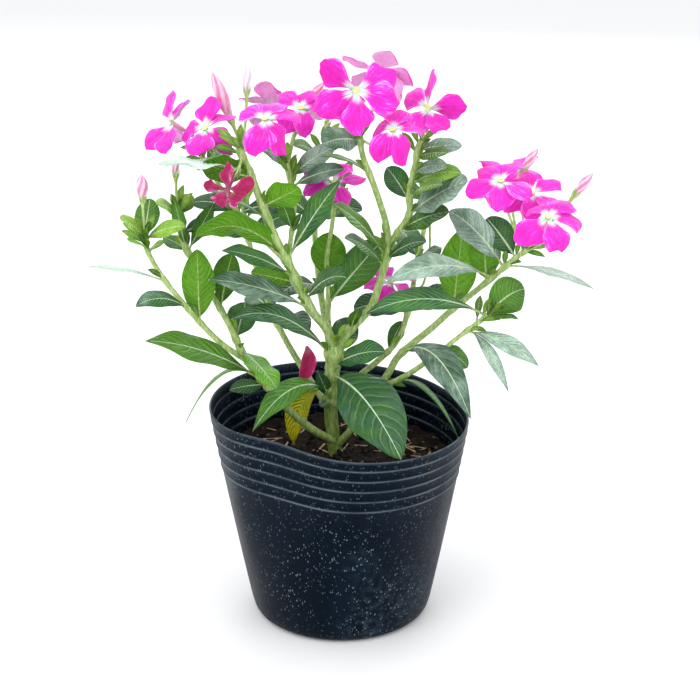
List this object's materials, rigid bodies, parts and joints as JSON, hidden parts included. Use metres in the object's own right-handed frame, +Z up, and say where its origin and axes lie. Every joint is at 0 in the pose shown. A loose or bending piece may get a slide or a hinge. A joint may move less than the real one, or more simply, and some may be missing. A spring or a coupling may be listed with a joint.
{
  "type": "potted flowering plant",
  "caption": "Madagascar periwinkle with magenta blooms, leafy branching stems and furled buds, growing in a soft black nursery pot.",
  "frame": {"origin": "centre of the pot's flat underside", "axes": "+Z up, from the pot towards the blooms; -Y is the plant's front; +X is to the right seen from the front"},
  "size_m": [0.2649, 0.1538, 0.326],
  "materials": {
    "pot_plastic": "satin",
    "soil": "matte",
    "leafy_green": "satin",
    "petal": "matte",
    "wilted_petal": "matte",
    "yellow_leaf": "matte",
    "pink_bud": "matte",
    "white_bud": "matte"
  },
  "bodies": {
    "root": {"pot": "pot_plastic", "soil": "soil", "main_stem": "leafy_green", "top_centre_shoot": "leafy_green", "right_shoot": "leafy_green", "centre_shoot": "leafy_green", "centre_left_shoot": "leafy_green", "low_left_shoot": "leafy_green", "far_left_shoot": "leafy_green", "low_right_shoot": "leafy_green", "low_right_outer_shoot": "leafy_green", "low_back_right_shoot": "leafy_green", "left_back_shoot": "leafy_green", "back_tall_shoot": "leafy_green", "back_left_shoot": "leafy_green", "bloom_top_front": "petal", "bloom_top_back": "petal", "bloom_top_low": "petal", "bloom_right": "petal", "bloom_far_left": "petal", "bloom_left": "petal", "bloom_left_front": "petal", "bloom_left_mid": "petal", "bloom_centre": "petal", "bloom_low_centre": "petal", "bloom_right_top": "petal", "bloom_right_left": "petal", "bloom_right_mid": "petal", "bloom_right_front": "petal", "bloom_wilted": "wilted_petal", "bloom_rear_tall": "petal", "bloom_rear_left": "petal", "yellow_leaf": "yellow_leaf", "dry_petal": "wilted_petal", "bud_left_tall": "pink_bud", "bud_white": "white_bud", "bud_centre_left": "pink_bud", "bud_far_left": "pink_bud", "bud_left_small": "pink_bud", "bud_right_up": "pink_bud", "bud_right_out": "pink_bud"}
  },
  "joints": []
}
